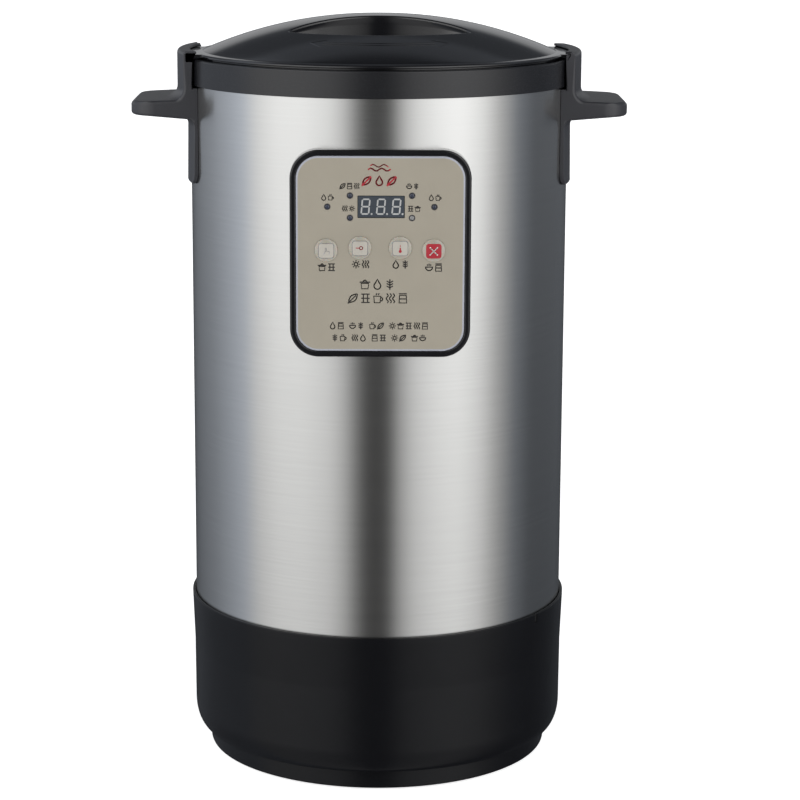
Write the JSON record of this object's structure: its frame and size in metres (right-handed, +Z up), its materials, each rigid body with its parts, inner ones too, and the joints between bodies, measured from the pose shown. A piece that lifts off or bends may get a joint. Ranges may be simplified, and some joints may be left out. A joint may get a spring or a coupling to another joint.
{
  "type": "yogurt maker",
  "caption": "Tall insulated steel yogurt maker with a removable inner pot, a twist-lock domed lid between two side handles, and a flat front panel with a display and push buttons.",
  "frame": {"origin": "on the floor, at the centre of the barrel", "axes": "+Z up along the barrel, front with the control panel towards -Y, handles along +X and -X"},
  "size_m": [0.3248, 0.2604, 0.4984],
  "materials": {
    "gloss_black": "polished",
    "satin_charcoal": "satin",
    "brushed_steel": "brushed around the barrel",
    "champagne_overlay": "satin pearl",
    "smoked_window": "polished",
    "frosted_keys": "frosted dome",
    "led_lens": "clear lens",
    "black_rubber": "matte",
    "silicone": "matte",
    "insulation_foam": "open foam",
    "circuit_board": "solder mask",
    "black_components": "moulded",
    "cast_aluminium": "cast",
    "zinc_steel": "zinc plated",
    "brass": "bright",
    "wire_red": "pvc"
  },
  "bodies": {
    "housing": {"base_housing": "gloss_black", "bottom_cover": "satin_charcoal", "rubber_foot_1": "black_rubber", "rubber_foot_2": "black_rubber", "rubber_foot_3": "black_rubber", "rubber_foot_4": "black_rubber", "bottom_screw_1": "zinc_steel", "bottom_screw_2": "zinc_steel", "bottom_screw_3": "zinc_steel", "bottom_screw_4": "zinc_steel", "outer_shell": "brushed_steel", "top_collar": "satin_charcoal", "inner_pot": "brushed_steel", "insulation_sleeve": "insulation_foam", "heater_band": "silicone", "support_plate": "zinc_steel", "heating_plate": "cast_aluminium", "temperature_sensor": "zinc_steel", "thermal_fuse": "cast_aluminium", "power_board": "circuit_board", "transformer": "zinc_steel", "relay": "black_components", "wire_harness": "wire_red", "inlet_socket": "satin_charcoal", "inlet_pin_line": "brass", "inlet_pin_neutral": "brass", "inlet_pin_earth": "brass", "handle_right": "satin_charcoal", "handle_bracket_right": "zinc_steel", "handle_screw_right_1": "zinc_steel", "handle_screw_right_2": "zinc_steel", "handle_left": "satin_charcoal", "handle_bracket_left": "zinc_steel", "handle_screw_left_1": "zinc_steel", "handle_screw_left_2": "zinc_steel", "panel_frame": "gloss_black", "panel_overlay": "champagne_overlay", "display_module": "smoked_window", "control_board": "circuit_board", "led_1": "led_lens", "led_2": "led_lens", "led_3": "led_lens", "led_4": "led_lens", "led_5": "led_lens", "led_6": "led_lens", "switch_function": "black_components", "switch_time": "black_components", "switch_temperature": "black_components", "switch_cancel": "black_components"},
    "inner_lid": {"inner_lid": "brushed_steel", "lid_gasket": "silicone"},
    "lid": {"lid_cover": "gloss_black", "lid_liner": "satin_charcoal", "lid_insulation": "insulation_foam", "lid_stud": "zinc_steel"},
    "key_function": {"button_function": "frosted_keys"},
    "key_time": {"button_time": "frosted_keys"},
    "key_temperature": {"button_temperature": "frosted_keys"},
    "key_cancel": {"button_cancel": "frosted_keys"}
  },
  "joints": [
    {"name": "lid_lift", "type": "slide", "parent": "housing", "child": "inner_lid", "axis": [0, 0, 1], "range_m": [0, 0.2]},
    {"name": "lid_twist", "type": "hinge", "parent": "inner_lid", "child": "lid", "pos_m": [0, 0, 0.472], "axis": [0, 0, 1], "range_deg": [0, 40]},
    {"name": "function_press", "type": "slide", "parent": "housing", "child": "key_function", "axis": [0, 1, 0], "range_m": [0, 0.0006], "stiffness_N_per_m": 1500},
    {"name": "time_press", "type": "slide", "parent": "housing", "child": "key_time", "axis": [0, 1, 0], "range_m": [0, 0.0006], "stiffness_N_per_m": 1500},
    {"name": "temperature_press", "type": "slide", "parent": "housing", "child": "key_temperature", "axis": [0, 1, 0], "range_m": [0, 0.0006], "stiffness_N_per_m": 1500},
    {"name": "cancel_press", "type": "slide", "parent": "housing", "child": "key_cancel", "axis": [0, 1, 0], "range_m": [0, 0.0006], "stiffness_N_per_m": 1500}
  ]
}
